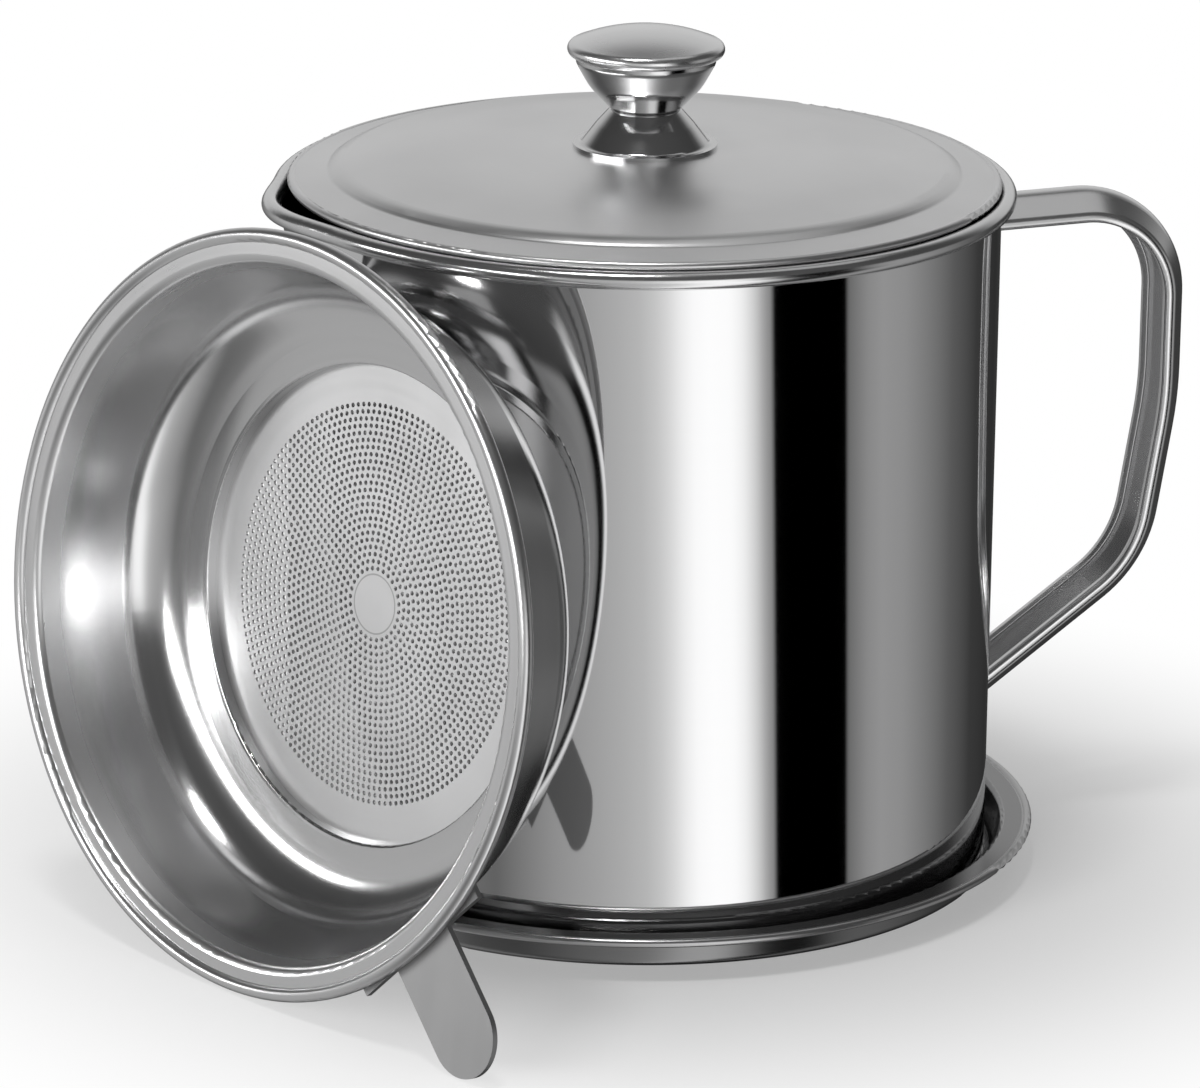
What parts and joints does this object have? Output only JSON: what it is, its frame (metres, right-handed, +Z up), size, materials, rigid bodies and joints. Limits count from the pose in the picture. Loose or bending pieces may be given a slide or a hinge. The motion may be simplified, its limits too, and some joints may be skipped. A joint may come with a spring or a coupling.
{
  "type": "bacon grease container",
  "caption": "Stainless grease mug with rim spout and strap handle on a drip tray, domed lid with spool knob, and a leaning perforated strainer with finger tab",
  "frame": {"origin": "centre of the tray's underside, on the surface the set stands on", "axes": "+Z up along the mug's axis, +X towards the handle, the spout towards -X"},
  "size_m": [0.2051, 0.1718, 0.1441],
  "materials": {
    "tray_steel": "satin",
    "mug_steel": "satin",
    "handle_steel": "polished",
    "lid_steel": "brushed",
    "knob_steel": "polished",
    "fixing_steel": "satin",
    "strainer_steel": "satin",
    "mesh_steel": "satin",
    "tab_steel": "matt"
  },
  "bodies": {
    "tray": {"tray": "tray_steel"},
    "mug": {"mug_body": "mug_steel", "mug_rim": "mug_steel", "handle": "handle_steel"},
    "lid": {"lid": "lid_steel", "knob_bell": "knob_steel", "knob_bowl": "knob_steel", "knob_cap": "knob_steel", "knob_insert": "fixing_steel", "knob_washer": "fixing_steel", "knob_screw": "fixing_steel"},
    "strainer": {"strainer_bowl": "strainer_steel", "strainer_plate": "mesh_steel", "strainer_tab": "tab_steel"}
  },
  "joints": [
    {"name": "mug_lift", "type": "slide", "parent": "tray", "child": "mug", "axis": [0, 0, 1], "range_m": [0, 0.06]},
    {"name": "lid_lift", "type": "slide", "parent": "mug", "child": "lid", "axis": [0, 0, 1], "range_m": [0, 0.12]},
    {"name": "strainer_away", "type": "slide", "parent": "tray", "child": "strainer", "axis": [-0.8844, -0.4487, 0.1288], "range_m": [0, 0.1]}
  ]
}
